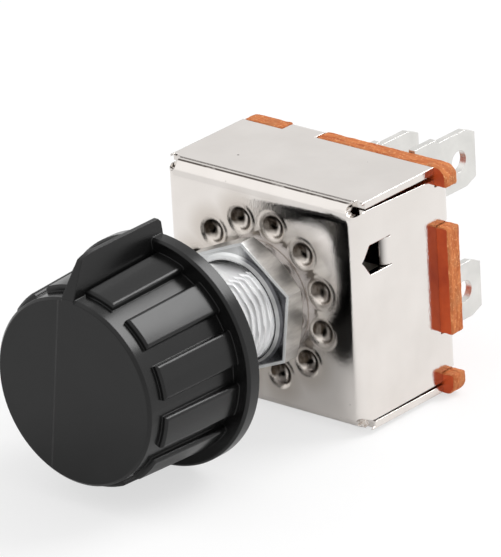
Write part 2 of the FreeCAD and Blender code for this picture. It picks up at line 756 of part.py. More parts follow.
# Shaft with its thrust collar, stop finger and drive end
def make_shaft():
    body = new_body("shaft")
    front = -shaft_front
    bevel = bushing_chamfer
    turned(body, [(zero, front), (shaft_radius - bevel, front), (shaft_radius, front + bevel),
                  (shaft_radius, collar_front), (collar_radius, collar_front),
                  (collar_radius, collar_back), (shaft_radius, collar_back),
                  (shaft_radius, drive_end), (zero, drive_end)])
    over = shaft_radius * 2
    flat = box_path(-over, over, shaft_flat, over)
    block(body, "XZ_Plane", front, shaft_flat_past - hub_back, flat, True)
    rest = quarter + turn_range / 2
    first = rest - finger_angle / 2
    last = rest + finger_angle / 2
    base = collar_radius - stop_clearance
    finger = [polar(base, first), polar(finger_radius, first), Arc(finger_radius, LEFT),
              polar(finger_radius, last), polar(base, last), Arc(base, RIGHT)]
    block(body, "XZ_Plane", collar_front, collar_back, finger)
    for way in (1, -1):
        near = drive_flat * way
        far = over * way
        low, high = (near, far) if way > 0 else (far, near)
        flat = box_path(-over, over, low, high)
        block(body, "XZ_Plane", collar_back, drive_end, flat, True)
    return body


# Rotor: carries the detent balls and the posts that turn the contact plate
def make_rotor():
    body = new_body("rotor")
    floor = collar_back + axial_clearance
    turned(body, [(zero, floor), (rotor_recess, floor), (rotor_recess, rotor_front),
                  (rotor_radius - rotor_edge, rotor_front), (rotor_radius, rotor_front + rotor_edge),
                  (rotor_radius, rotor_back - rotor_edge), (rotor_radius - rotor_edge, rotor_back),
                  (zero, rotor_back)])
    width = shaft_radius + running_fit
    height = drive_flat + running_fit
    half = root(width * width - height * height)
    drive = [(-half, -height), (half, -height), Arc(width, LEFT), (half, height),
             (-half, height), Arc(width, LEFT)]
    block(body, "XZ_Plane", floor, drive_end + axial_clearance, drive, True)
    seat = contact_spring_radius + contact_wire
    plug(body, "XZ_Plane", rotor_back - seat_depth, rotor_back, (zero, zero), seat, True)
    hole = ball_radius + ball_clearance
    for way in (1, -1):
        centre = (dimple_ring * way, zero)
        plug(body, "XZ_Plane", rotor_front, ball_hole_end, centre, hole, True)
    post = plug(body, "XZ_Plane", rotor_back, rotor_back + post_length, (post_ring, zero), post_radius)
    repeat(body, [post], 3)
    return body


# Detent balls and their springs
bump_crown = sheet_thickness + bump_height
ball_centre = bump_crown + ball_clearance + ball_radius


def make_ball(label, way):
    ball = document.addObject("Part::Sphere", label)
    ball.Label = label
    bind(ball, "Radius", ball_radius)
    return put(ball, dimple_ring * way, ball_centre, zero)


def coil(label, coil_radius, wire, begin, end, turns):
    """A helical spring about the Y axis between two seats."""
    body = new_body(label)
    sketch = sketch_on(body, "XY_Plane")
    ring_outline(sketch, (coil_radius, begin + wire / 2), wire / 2)
    feature = body.newObject("PartDesign::AdditiveHelix", f"{label}_coil")
    feature.Profile = sketch
    feature.ReferenceAxis = (sketch, ["V_Axis"])
    feature.Mode = "height-turns-angle"
    bind(feature, "Height", end - begin - wire)
    bind(feature, "Turns", turns)
    return finish_body(body, feature)


def finish_body(body, feature):
    """Ends the body and hands it back."""
    finish(body, feature)
    return body


def make_detent_spring(label, way):
    begin = ball_centre + ball_radius - detent_wire / 2
    radius = ball_radius - detent_wire
    body = coil(label, radius, detent_wire, begin, ball_hole_end, detent_turns)
    return put(body, dimple_ring * way, zero, zero)


# Contact plate, contact spring and contact rivets
plate_back = board_front - rivet_head_height - contact_gap - plate_bump
plate_front = plate_back - plate_thickness


def make_contact_plate():
    body = new_body("contact_plate")
    plug(body, "XZ_Plane", plate_front, plate_back, (zero, zero), plate_hub)
    half = plate_arm_width / 2
    arm_path = box_path(-plate_arm, zero, -half, half)
    arm = block(body, "XZ_Plane", plate_front, plate_back, arm_path)
    centre = -contact_ring
    bow = bowed(plate_bump_radius, plate_bump)
    profile = [(centre, plate_back - plate_thickness / 2),
               (centre + plate_bump_radius, plate_back - plate_thickness / 2),
               (centre + plate_bump_radius, plate_back), Arc(bow, LEFT),
               (centre, plate_back + plate_bump)]
    bump = turned(body, profile, centre=centre)
    hole = plug(body, "XZ_Plane", plate_front, plate_back, (post_ring, zero),
                post_radius + ball_clearance * 2, True)
    repeat(body, [arm, bump, hole], 3)
    turned(body, [(zero, plate_back - plate_thickness / 2),
                  (plate_bump_radius, plate_back - plate_thickness / 2),
                  (plate_bump_radius, plate_back), Arc(bow, LEFT), (zero, plate_back + plate_bump)])
    return body


def make_contact_spring():
    begin = rotor_back - seat_depth
    return coil("contact_spring", contact_spring_radius, contact_wire, begin, plate_front,
                contact_turns)


def make_rivet(label, place):
    body = new_body(label)
    front = board_front - rivet_head_height
    edge = rivet_head_height / 2
    back = board_back + blade_thickness
    clinch = rivet_clinch
    turned(body, [(zero, front), (rivet_head - edge, front), (rivet_head, front + edge),
                  (rivet_head, board_front), (rivet_shank, board_front), (rivet_shank, back),
                  (clinch, back), (clinch - edge / 2, back + edge), (zero, back + edge)])
    return put(body, place[0], zero, place[1])


# Blade terminals: a foot riveted to the board and a blade bent up from it
def make_terminal(label, face, middle, rivet, foot_high):
    body = new_body(label)
    back = board_back + blade_thickness
    low_x = face - blade_thickness
    reach_low = rivet[0] - foot_margin
    reach_high = rivet[0] + foot_margin
    foot_low = rivet[1] - foot_margin
    first, last = (reach_low, face) if reach_low.value < low_x.value else (low_x, reach_high)
    block(body, "XZ_Plane", board_back, back, box_path(first, last, foot_low, foot_high))
    half = blade_width / 2
    wide = shoulder_width / 2
    step = board_back + blade_step
    tip = board_back + blade_tip
    upper = [(board_back, wide), (step - shoulder_cut, wide), (step, wide - shoulder_cut),
             (step, half), (tip - tip_cut_length, half), (tip, half - tip_cut_width)]
    path = [(y, middle + z) for y, z in upper] + [(y, middle - z) for y, z in reversed(upper)]
    block(body, "YZ_Plane", low_x, face, path)
    plug(body, "YZ_Plane", low_x, face, (tip - blade_hole_place, middle), blade_hole, True)
    hole = rivet_shank + rivet_clearance
    plug(body, "XZ_Plane", board_back, back, rivet, hole, True)
    return body


# Knob with skirt, grip pads, pointer, hub and ribs
def make_knob():
    body = new_body("knob")
    front = -knob_front
    back = -knob_back
    root_y = back - skirt_thickness
    web_back = front + knob_web
    wall = knob_front_radius - knob_wall
    turned(body, [(zero, front), (knob_front_radius - knob_edge, front),
                  (knob_front_radius, front + knob_edge), (knob_root_radius, root_y),
                  (skirt_radius - skirt_edge, root_y), (skirt_radius, root_y + skirt_edge),
                  (skirt_radius, back - skirt_edge), (skirt_radius - skirt_edge, back),
                  (wall, back), (wall, web_back), (hub_radius, web_back),
                  (hub_radius, -hub_back), (zero, -hub_back)])
    pad = grip_pad(body, -grip_front, root_y)
    repeat(body, [pad], grip_count)
    nose = [(grip_front_radius - grip_bevel, -grip_front),
            (grip_back_radius, -grip_front), (grip_back_radius, grip_bevel * 2 - grip_front)]
    turned(body, nose, cut=True)
    low = -knob_rib / 2
    high = knob_rib / 2
    rib = block(body, "XZ_Plane", web_back, root_y,
                box_path(hub_radius - knob_rib / 2, wall + knob_rib / 2, low, high))
    repeat(body, [rib], 4)
    add_pointer(body)
    bore = shaft_radius + running_fit
    flat = shaft_flat + clip_thickness + running_fit
    block(body, "XZ_Plane", -bore_end, -hub_back, flatted(bore, flat), True)
    return body


def grip_pad(body, front, back):
    """A grip pad with rounded edges, growing from the front towards the skirt."""
    sketches = []
    for place, outer in ((front, grip_front_radius), (back, grip_back_radius)):
        sketch = sketch_on(body, "XZ_Plane", -place)
        outline(sketch, pad_outline(outer))
        sketches.append(sketch)
    pad = body.newObject("PartDesign::AdditiveLoft", "knob_pad")
    pad.Profile = sketches[0]
    pad.Sections = sketches[1:]
    pad.Ruled = True
    return finish(body, pad)


def pad_outline(outer):
    """The outline of a pad seen from the front. It lies half a step from the X axis."""
    inner = knob_front_radius - knob_edge
    centre_radius = outer - grip_edge
    side = root(centre_radius * centre_radius - grip_edge * grip_edge)
    ends = []
    for way in (-1, 1):
        angle = full_turn / grip_count / 2 + grip_angle / 2 * way
        along = polar(1, angle)
        inward = (along[1] * way, -along[0] * way)
        centre = [side * along[axis] + grip_edge * inward[axis] for axis in (0, 1)]
        crown = [number * outer / centre_radius for number in centre]
        ends.append([polar(inner, angle), (side * along[0], side * along[1]), crown])
    low, high = ends
    corner = Arc(grip_edge, LEFT)
    return [low[0], low[1], corner, low[2], Arc(outer, LEFT), high[2], corner, high[1], high[0]]


def add_pointer(body):
    """The tapered fin over the knob, sloped at the front and cut back at the tail."""
    front = -knob_front
    back = -knob_back
    inner = knob_front_radius - knob_wall / 2
    half = pointer_base / 2
    thin = pointer_ridge / 2
    fin = [(-half, inner), (half, inner), (half, pointer_foot), (thin, pointer_top),
           (-thin, pointer_top), (-half, pointer_foot)]
    block(body, "XZ_Plane", front, back, fin)
    over = pointer_top + pointer_base
    past = front - pointer_base
    slope_end = front + pointer_set_back
    ridge_end = slope_end + pointer_bow
    slope = [(past, pointer_foot), (front, pointer_foot), (slope_end, pointer_top - pointer_drop),
             Arc(bowed(pointer_bow, pointer_drop), RIGHT), (ridge_end, pointer_top),
             (ridge_end, over), (past, over)]
    block(body, "YZ_Plane", -half, half, slope, True)
    tail = [(back - pointer_tail, over), (back - pointer_tail, pointer_top),
            (back, pointer_top - pointer_tail), (back - front, pointer_top - pointer_tail),
            (back - front, over)]
    block(body, "YZ_Plane", -half, half, tail, True)


def make_clip():
    body = new_body("knob_clip")
    half = clip_width / 2
    low = shaft_flat
    high = shaft_flat + clip_thickness
    front = -shaft_front + bushing_chamfer
    back = -hub_back
    block(body, "XZ_Plane", front, back, box_path(-half, half, low, high))
    tail = box_path(-half, half, low, high + clip_tail)
    block(body, "XZ_Plane", back, back + clip_thickness, tail)
    return body


supply_rivet, low_rivet, high_rivet, medium_rivet = rivet_places()
parts = [
    make_housing(),
    make_board(),
    make_bushing(),
    make_washer(),
    make_nut(),
    make_shaft(),
    make_rotor(),
    make_ball("detent_ball_right", 1),
    make_ball("detent_ball_left", -1),
    make_detent_spring("detent_spring_right", 1),
    make_detent_spring("detent_spring_left", -1),
    make_contact_plate(),
    make_contact_spring(),
    make_rivet("contact_rivet_supply", supply_rivet),
    make_rivet("contact_rivet_low", low_rivet),
    make_rivet("contact_rivet_medium", medium_rivet),
    make_rivet("contact_rivet_high", high_rivet),
    make_terminal("terminal_supply", supply_right, supply_middle, supply_rivet,
                  supply_middle + foot_margin),
    make_terminal("terminal_low", low_right, low_middle, low_rivet, low_middle),
    make_terminal("terminal_medium", -medium_left, -medium_middle, medium_rivet,
                  medium_rivet[1] + foot_margin),
    make_terminal("terminal_high", low_right, -high_middle, high_rivet,
                  high_rivet[1] + foot_margin),
    make_knob(),
    make_clip(),
]

# Checks and files
document.recompute()
for item in document.Objects:
    if "Invalid" in item.State or "Error" in item.State:
        raise RuntimeError(f"{item.Label} failed: {item.State}")
os.makedirs("parts", exist_ok=True)
for part in parts:
    shape = part.Shape
    if shape.isNull() or not shape.isValid() or not shape.Solids:
        raise RuntimeError(f"{part.Label} has no sound solid")
    shape.exportStep(f"parts/{part.Label}.step")
    print(f"{part.Label}: {len(shape.Solids)} solid, {shape.Volume:.1f} cubic millimetres")
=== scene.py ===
import math

import bmesh
import bpy
from mathutils import Matrix, Vector, noise


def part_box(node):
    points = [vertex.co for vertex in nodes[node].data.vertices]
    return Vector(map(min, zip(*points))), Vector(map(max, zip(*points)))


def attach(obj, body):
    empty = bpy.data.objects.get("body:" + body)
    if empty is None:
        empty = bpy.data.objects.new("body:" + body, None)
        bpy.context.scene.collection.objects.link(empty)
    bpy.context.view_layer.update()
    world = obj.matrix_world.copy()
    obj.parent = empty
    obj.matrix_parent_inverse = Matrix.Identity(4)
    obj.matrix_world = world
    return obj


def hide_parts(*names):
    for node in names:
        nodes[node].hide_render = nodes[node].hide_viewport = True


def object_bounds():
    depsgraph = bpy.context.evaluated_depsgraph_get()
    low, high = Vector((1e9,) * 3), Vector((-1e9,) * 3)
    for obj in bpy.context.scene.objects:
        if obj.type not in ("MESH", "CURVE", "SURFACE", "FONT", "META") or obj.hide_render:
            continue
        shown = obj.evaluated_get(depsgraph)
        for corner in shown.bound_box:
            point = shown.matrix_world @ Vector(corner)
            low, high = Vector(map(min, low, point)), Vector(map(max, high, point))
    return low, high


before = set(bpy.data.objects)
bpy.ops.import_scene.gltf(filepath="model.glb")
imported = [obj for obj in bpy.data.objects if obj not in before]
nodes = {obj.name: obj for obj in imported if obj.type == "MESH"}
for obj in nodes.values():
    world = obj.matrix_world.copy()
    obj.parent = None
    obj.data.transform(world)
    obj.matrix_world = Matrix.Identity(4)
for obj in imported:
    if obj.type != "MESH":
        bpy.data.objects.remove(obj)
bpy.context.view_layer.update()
scene = bpy.context.scene
scene.view_settings.view_transform = "Standard"

MM = 0.001


def rgba(red, green, blue):
    return (red, green, blue, 1.0)


def grey(level):
    return rgba(level, level, level)


def scaled(colour, factor):
    return rgba(*[factor * part for part in colour])


# Camera, from a fit to points of the photograph
AZIMUTH = math.radians(40.945)
ELEVATION = math.radians(22.518)
ROLL = math.radians(-3.183)
DISTANCE = 0.8
PIXELS_PER_METRE = 9582.0
FRAME_SIZE = (501, 557)
AIM_PIXEL = (264.602, 294.929)
AIM_POINT = Vector((0.607, 0.0, 0.348)) * MM
SENSOR_WIDTH = 36
CLIP_START = 0.01


def add_camera():
    """The photograph's camera, placed so that the aim point falls on its pixel."""
    level_x = math.sin(AZIMUTH) * math.cos(ELEVATION)
    level_y = -math.cos(AZIMUTH) * math.cos(ELEVATION)
    back = Vector((level_x, level_y, math.sin(ELEVATION)))
    right = (-back).cross(Vector((0, 0, 1))).normalized()
    up = right.cross(-back)
    rolled_right = math.cos(ROLL) * right + math.sin(ROLL) * up
    rolled_up = -math.sin(ROLL) * right + math.cos(ROLL) * up
    off_right = (AIM_PIXEL[0] - FRAME_SIZE[0] / 2) / PIXELS_PER_METRE
    off_up = -(AIM_PIXEL[1] - FRAME_SIZE[1] / 2) / PIXELS_PER_METRE
    place = AIM_POINT - off_right * rolled_right - off_up * rolled_up + DISTANCE * back
    data = bpy.data.cameras.new("camera")
    data.sensor_width = SENSOR_WIDTH
    data.lens = PIXELS_PER_METRE * DISTANCE * SENSOR_WIDTH / max(FRAME_SIZE)
    data.clip_start = CLIP_START
    camera = bpy.data.objects.new("camera", data)
    scene.collection.objects.link(camera)
    turn = Matrix((rolled_right, rolled_up, back)).transposed()
    camera.matrix_world = Matrix.Translation(place) @ turn.to_4x4()
    scene.camera = camera


# Node trees
BEVEL_SAMPLES = 6
MIX_SOCKETS = {"RGBA": (6, 7, 2), "VECTOR": (4, 5, 1)}


class Nodes:
    """Short calls for adding nodes to a node tree."""

    def __init__(self, tree):
        self.tree = tree

    def add(self, kind, inputs=(), **settings):
        node = self.tree.nodes.new("ShaderNode" + kind)
        for name, value in settings.items():
            setattr(node, name, value)
        for key, value in dict(inputs).items():
            self.put(node.inputs[key], value)
        return node

    def put(self, socket, value):
        if isinstance(value, bpy.types.NodeSocket):
            self.tree.links.new(value, socket)
        else:
            socket.default_value = value

    def math(self, operation, first, second=0.0):
        return self.add("Math", {0: first, 1: second}, operation=operation).outputs[0]

    def product(self, first, *others):
        for other in others:
            first = self.math("MULTIPLY", first, other)
        return first

    def hypotenuse(self, first, second):
        squares = self.math("ADD", self.product(first, first), self.product(second, second))
        return self.math("SQRT", squares)

    def ramp(self, value, low, high, at_low=0.0, at_high=1.0, smooth=False):
        """A value that goes from one level to another between low and high."""
        inputs = {"Value": value, "From Min": low, "From Max": high, "To Min": at_low, "To Max": at_high}
        kind = "SMOOTHSTEP" if smooth else "LINEAR"
        return self.add("MapRange", inputs, interpolation_type=kind).outputs["Result"]

    def fade(self, value, low, high):
        return self.ramp(value, low, high, 1.0, 0.0)

    def between(self, share, at_zero, at_one):
        return self.ramp(share, 0.0, 1.0, at_zero, at_one)


class Shader(Nodes):
    """A node material around its Principled shader."""

    def __init__(self, name):
        self.material = bpy.data.materials.new(name)
        self.material.use_nodes = True
        super().__init__(self.material.node_tree)
        self.shader = self.tree.nodes["Principled BSDF"]
        self.place = self.add("TexCoord").outputs

    def set(self, **values):
        """Inputs of the shader, by their names with _ for each space."""
        for key, value in values.items():
            self.put(self.shader.inputs[key.replace("_", " ")], value)

    def split(self, output):
        """X, Y and Z of the object coordinates or the normal."""
        return self.add("SeparateXYZ", {"Vector": self.place[output]}).outputs

    def noise(self, scale, detail=3.0, roughness=0.55, vector=None):
        vector = vector or self.place["Object"]
        inputs = {"Vector": vector, "Scale": scale, "Detail": detail, "Roughness": roughness}
        return self.add("TexNoise", inputs).outputs["Fac"]

    def streaks(self, scales, detail=3.0, roughness=0.55):
        """Noise with a scale of its own along each axis of the object."""
        mapping = self.add("Mapping", {"Vector": self.place["Object"], "Scale": scales})
        return self.noise(1.0, detail, roughness, mapping.outputs["Vector"])

    def mix(self, share, first, second, kind="RGBA"):
        first_socket, second_socket, output = MIX_SOCKETS[kind]
        inputs = {0: share, first_socket: first, second_socket: second}
        return self.add("Mix", inputs, data_type=kind).outputs[output]

    def line(self, value, middle, half):
        """One along a line twice as wide as half, fading near its edges."""
        away = self.math("ABSOLUTE", self.math("SUBTRACT", value, middle))
        return self.fade(away, 0.6 * half, half)

    def soft_edges(self, radius):
        return self.add("Bevel", {"Radius": radius}, samples=BEVEL_SAMPLES).outputs["Normal"]

    def bump(self, height, strength, distance, normal):
        inputs = {"Height": height, "Strength": strength, "Distance": distance, "Normal": normal}
        return self.add("Bump", inputs).outputs["Normal"]

    def lean(self, normal, x, z):
        """A normal turned a little along the object's own X and Z."""
        way = self.add("CombineXYZ", {"X": x, "Z": z}).outputs["Vector"]
        spaces = {"vector_type": "VECTOR", "convert_from": "OBJECT", "convert_to": "WORLD"}
        way = self.add("VectorTransform", {"Vector": way}, **spaces).outputs["Vector"]
        both = self.add("VectorMath", {0: normal, 1: way}, operation="ADD").outputs["Vector"]
        return self.add("VectorMath", {0: both}, operation="NORMALIZE").outputs["Vector"]


# Housing
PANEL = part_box("housing")[1].x
WINDOW_FOOT = 2.0 * MM
WINDOW_BACK = 5.5 * MM
WINDOW_BOTTOM = 4.81 * MM
WINDOW_TOP = 8.09 * MM
WINDOW_REACH = 6.0 * MM
DARK_FROM = 0.03 * MM
DARK_AT = 0.85 * MM
FOLD_LINES = ((1.12 * MM, 0.14 * MM), (0.72 * MM, 0.13 * MM))
FRONT_FADE = (0.9 * MM, 1.1 * MM)
DIMPLE_RING = 8.53 * MM
DIMPLE_STEP = math.radians(30)
SHADE_LEFT = 0.22 * MM
SHADE_UP = 0.26 * MM
SHADE_FADE = (1.15 * MM, 1.32 * MM)
MOUTH_FADE = (1.30 * MM, 1.42 * MM)
STREAK_PLACE = 0.12 * MM
STREAK_FADE = (0.10 * MM, 0.36 * MM)
LOWER_EDGE_FADE = (-1.00 * MM, -0.45 * MM)
DIMPLE_REFLECTION_FADE = (1.6 * MM, 4.2 * MM)
SOFT_FADE = (1.7 * MM, 2.6 * MM)
SOFT_RADIUS = 0.38 * MM
FOLD_RADIUS = 0.15 * MM
RIGHT_BOW = (8.5 * MM, 12.4 * MM, 0.0, 0.16)
UPPER_BOW = (10.5 * MM, 11.8 * MM, 0.0, 0.34)


def window_painted_shade(made, spot):
    """Painted shade: one on the tongue behind the window, where no light gets in."""
    return made.product(
        made.ramp(spot["X"], PANEL - DARK_AT, PANEL - DARK_FROM, 1.0, 0.0, True),
        made.math("GREATER_THAN", spot["X"], PANEL - WINDOW_REACH),
        made.math("GREATER_THAN", spot["Y"], WINDOW_FOOT),
        made.math("LESS_THAN", spot["Y"], WINDOW_BACK),
        made.math("GREATER_THAN", spot["Z"], WINDOW_BOTTOM),
        made.math("LESS_THAN", spot["Z"], WINDOW_TOP))


def rare_pits(made):
    cells = made.add("TexVoronoi", {"Vector": made.place["Object"], "Scale": 420.0})
    rare = made.math("GREATER_THAN", made.noise(700, 0.0), 0.66)
    return made.product(made.fade(cells.outputs["Distance"], 0.03, 0.07), rare)


def fold_dark_lines(made, spot, facing):
    """Two broken dark lines across the top flap, along its fold."""
    level = made.math("GREATER_THAN", facing["Z"], 0.8)
    lines = made.math("MAXIMUM", *(made.line(spot["Y"], *line) for line in FOLD_LINES))
    broken = made.ramp(made.streaks((900, 2500, 900), 3.0, 0.6), 0.30, 0.45, 0.45, 1.0)
    return made.product(lines, level, broken)


def nearest_dimple(made, spot):
    """Distance from the middle of the nearest dimple, then how far to its right and above it."""
    angle = made.math("ARCTAN2", spot["Z"], spot["X"])
    step = made.math("FLOOR", made.math("DIVIDE", angle, DIMPLE_STEP))
    middle = made.product(made.math("ADD", step, 0.5), DIMPLE_STEP)
    middle_x = made.product(made.math("COSINE", middle), DIMPLE_RING)
    middle_z = made.product(made.math("SINE", middle), DIMPLE_RING)
    rightward = made.math("SUBTRACT", spot["X"], middle_x)
    upward = made.math("SUBTRACT", spot["Z"], middle_z)
    return made.hypotenuse(rightward, upward), rightward, upward


def cup_painted_shade(made, reach, rightward, upward):
    """Painted shade in the upper left of a dimple, with a painted bright streak and a painted bright
    lower edge.
    """
    aside = made.math("ADD", rightward, SHADE_LEFT)
    above = made.math("SUBTRACT", upward, SHADE_UP)
    shade = made.fade(made.hypotenuse(aside, above), *SHADE_FADE)
    uneven = made.ramp(made.streaks((1800, 900, 420), 2.0, 0.5), 0.42, 0.56, 0.85, 1.0)
    beside = made.math("ABSOLUTE", made.math("SUBTRACT", rightward, STREAK_PLACE))
    off_streak = made.ramp(beside, *STREAK_FADE, 0.2, 1.0)
    off_edge = made.ramp(upward, *LOWER_EDGE_FADE, 0.1, 1.0)
    return made.product(shade, made.fade(reach, *MOUTH_FADE), uneven, off_streak, off_edge)


def nickel():
    """Bright nickel plate on drawn sheet: fine upright grain, faint clouds, rare pits, dark lines along
    the fold, painted shade in the dimples and behind the window, and a painted brown reflection around
    the dimples.
    """
    made = Shader("nickel_plate")
    spot = made.split("Object")
    facing = made.split("Normal")
    grain = made.streaks((9000, 5000, 2600), 2.0, 0.6)
    drawn = made.streaks((700, 500, 160), 3.0, 0.6)
    cloud = made.noise(160)
    ahead = made.fade(spot["Y"], *FRONT_FADE)
    front = made.fade(facing["Y"], -1.0, -0.7)
    reach, rightward, upward = nearest_dimple(made, spot)

    marks = made.math("MAXIMUM", rare_pits(made), fold_dark_lines(made, spot, facing))
    # Painted reflection: the front is tinted darker brown around the dimples
    painted_dimple_reflection = made.product(made.ramp(reach, *DIMPLE_REFLECTION_FADE, 0.45, 0.0, True), ahead)
    cup = made.product(cup_painted_shade(made, reach, rightward, upward), ahead)
    base = made.mix(made.ramp(cloud, 0.35, 0.7), rgba(0.75, 0.71, 0.675), rgba(0.80, 0.76, 0.725))
    base = made.mix(marks, base, rgba(0.10, 0.085, 0.075))
    # Painted shade: near black on the tongue behind the window
    base = made.mix(window_painted_shade(made, spot), base, rgba(0.012, 0.010, 0.009))
    base = made.mix(painted_dimple_reflection, base, rgba(0.40, 0.34, 0.28))
    # Painted shade: the dimples' cups dark brown, with painted bright streaks and lower edges
    base = made.mix(cup, base, rgba(0.05, 0.038, 0.028))
    made.set(Base_Color=base, Metallic=1.0, Roughness=made.ramp(cloud, 0.3, 0.75, 0.07, 0.12))

    softness = made.product(made.ramp(reach, *SOFT_FADE, SOFT_RADIUS, 0.0), ahead)
    edges = made.soft_edges(made.math("ADD", softness, FOLD_RADIUS))
    right_bow = made.product(made.ramp(spot["X"], *RIGHT_BOW, True), front)
    upper_bow = made.product(made.ramp(spot["Z"], *UPPER_BOW, True), front)
    normal = made.bump(grain, 0.30, 0.03 * MM, made.lean(edges, right_bow, upper_bow))
    normal = made.bump(drawn, 0.10, 0.05 * MM, normal)
    made.set(Normal=made.bump(cloud, 0.10, 0.2 * MM, normal))
    return made.material


# Mounting nut
NUT_TURN = 22.4
RIM_FADE = (6.28 * MM, 6.45 * MM)
BOSS_FOOT_FADE = (5.93 * MM, 6.01 * MM)
LIT_FADE = (0.3 * MM, 2.0 * MM)
PAINTED_LIGHT_ZINC = rgba(0.88, 0.89, 0.89)


def hexagon_reach(made, spot):
    """Distance from the nut's axis, measured square to its nearest flat."""
    reach = 0.0
    for step in range(3):
        angle = math.radians(NUT_TURN + 30 + 60 * step)
        along = made.product(spot["X"], math.cos(angle))
        up = made.product(spot["Z"], math.sin(angle))
        reach = made.math("MAXIMUM", reach, made.math("ABSOLUTE", made.math("ADD", along, up)))
    return reach


def nut_plate():
    """Bright zinc with painted light and reflection: a painted dark front with a painted lit left side
    and a painted bright rim highlight, a painted grey boss with a dark foot, drawn flats.
    """
    made = Shader("nut_plate")
    spot = made.split("Object")
    facing = made.split("Normal")
    drawn = made.streaks((900, 260, 900), 3.0, 0.6)
    cloud = made.noise(300)
    front = made.fade(facing["Y"], -0.99, -0.93)
    rim = made.product(made.ramp(hexagon_reach(made, spot), *RIM_FADE), front)
    slope = made.product(made.math("LESS_THAN", facing["Y"], -0.3), made.between(front, 1.0, 0.0))
    foot = made.product(slope, made.ramp(made.hypotenuse(spot["X"], spot["Z"]), *BOSS_FOOT_FADE))
    boss = made.math("SUBTRACT", slope, foot)
    # Painted light: the left side of the front and of the boss painted bright and made less metallic, as
    # if lit
    lit = made.ramp(spot["X"], *LIT_FADE, 0.92, 0.0, True)

    flats = made.mix(made.ramp(drawn, 0.35, 0.65), grey(0.52), rgba(0.74, 0.74, 0.73))
    # Painted reflection: the front and the foot of the boss dark, the boss grey, the rim at the
    # hexagon's edges bright as a highlight
    face = made.mix(made.ramp(cloud, 0.35, 0.7), rgba(0.06, 0.06, 0.065), rgba(0.16, 0.16, 0.17))
    ring = made.mix(made.ramp(cloud, 0.35, 0.65), grey(0.24), grey(0.44))
    base = made.mix(made.math("MAXIMUM", front, foot), flats, made.mix(lit, face, PAINTED_LIGHT_ZINC))
    base = made.mix(boss, base, made.mix(lit, ring, PAINTED_LIGHT_ZINC))
    base = made.mix(rim, base, rgba(0.86, 0.87, 0.87))
    painted_pale = made.math("MAXIMUM", made.product(lit, made.math("MAXIMUM", front, boss)), rim)
    inside_rim = made.math("SUBTRACT", front, rim)
    made.set(Base_Color=base, Metallic=made.between(painted_pale, 1.0, 0.15))
    made.set(Roughness=made.between(inside_rim, 0.32, 0.16))
    normal = made.bump(made.noise(6000, 2.0), 0.12, 0.02 * MM, made.soft_edges(0.16 * MM))
    made.set(Normal=made.bump(drawn, 0.25, 0.06 * MM, normal))
    return made.material


# New meshes
def new_piece(name, bm):
    """A linked object made of the faces of bm."""
    bmesh.ops.recalc_face_normals(bm, faces=bm.faces)
    data = bpy.data.meshes.new(name)
    bm.to_mesh(data)
    bm.free()
    piece = bpy.data.objects.new(name, data)
    scene.collection.objects.link(piece)
    return piece


def join_rings(bm, before, after):
    """Faces between two rings that have as many points each."""
    for spot in range(len(before)):
        bm.faces.new((before[spot - 1], before[spot], after[spot], after[spot - 1]))


def smooth(piece, angle):
    """Smooth shading up to an angle between faces."""
    bm = bmesh.new()
    bm.from_mesh(piece.data)
    for face in bm.faces:
        face.smooth = True
    for edge in bm.edges:
        edge.smooth = len(edge.link_faces) == 2 and edge.calc_face_angle() < math.radians(angle)
    bm.to_mesh(piece.data)
    bm.free()


# Bushing with its rolled thread
def bushing_points(ahead_of=math.inf):
    """The points of the solid bushing that lie ahead of a place along the shaft."""
    return [vertex.co for vertex in nodes["bushing"].data.vertices if vertex.co.y < ahead_of]


BUSHING_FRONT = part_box("bushing")[0].y
WALL_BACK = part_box("bushing")[1].y
CREST = max(point.xz.length for point in bushing_points(ahead_of=0))
FLAT = max(point.z for point in bushing_points(ahead_of=0))
FLANGE = max(point.xz.length for point in bushing_points())
BORE = min(point.xz.length for point in bushing_points())
BORE_CHAMFER = 0.3 * MM
PITCH = 25.4 / 28 * MM
THREAD_DEPTH = 0.5 * MM
ROOT_SHARE = 0.12
FLANK_SHARE = 0.74
LEAD_IN = 0.5 * MM
SHEET = 0.8 * MM
FLANGE_BACK = 2.0 * MM
WALL_RADII = (4.85 * MM, 6.6 * MM)
WALL_START = math.radians(148.5)
WALL_TURN = math.radians(243)
WALL_STEPS = 60
RING_STEPS = 128
ROWS_PER_TURN = 10
STEP_GAP = 0.01 * MM


def cast_zinc():
    """Plated zinc casting: satin threads, with a paler and duller flat on top."""
    made = Shader("zinc_casting")
    cloud = made.noise(300)
    level = made.ramp(made.split("Normal")["Z"], 0.96, 0.99)
    high = made.math("GREATER_THAN", made.split("Object")["Z"], FLAT - 0.1 * MM)
    flat = made.product(level, high)
    base = made.mix(made.ramp(cloud, 0.35, 0.7), rgba(0.88, 0.88, 0.89), grey(0.97))
    made.set(Base_Color=base, Metallic=made.between(flat, 0.65, 0.35))
    made.set(Roughness=made.between(flat, 0.30, 0.55))
    made.set(Normal=made.bump(made.noise(5200, 2.0), 0.15, 0.03 * MM, made.soft_edges(0.04 * MM)))
    return made.material


def thread_radii(y):
    """Radii around the threaded outside, with a lead-in at the front end."""
    radii = []
    for step in range(RING_STEPS):
        turn = ((y - BUSHING_FRONT) / PITCH - step / RING_STEPS) % 1.0
        wave = abs(2 * turn - 1)
        height = min(1.0, max(0.0, (wave - ROOT_SHARE) / FLANK_SHARE))
        radius = CREST - THREAD_DEPTH * (1 - height)
        radii.append(min(radius, CREST - LEAD_IN + (y - BUSHING_FRONT)))
    return radii


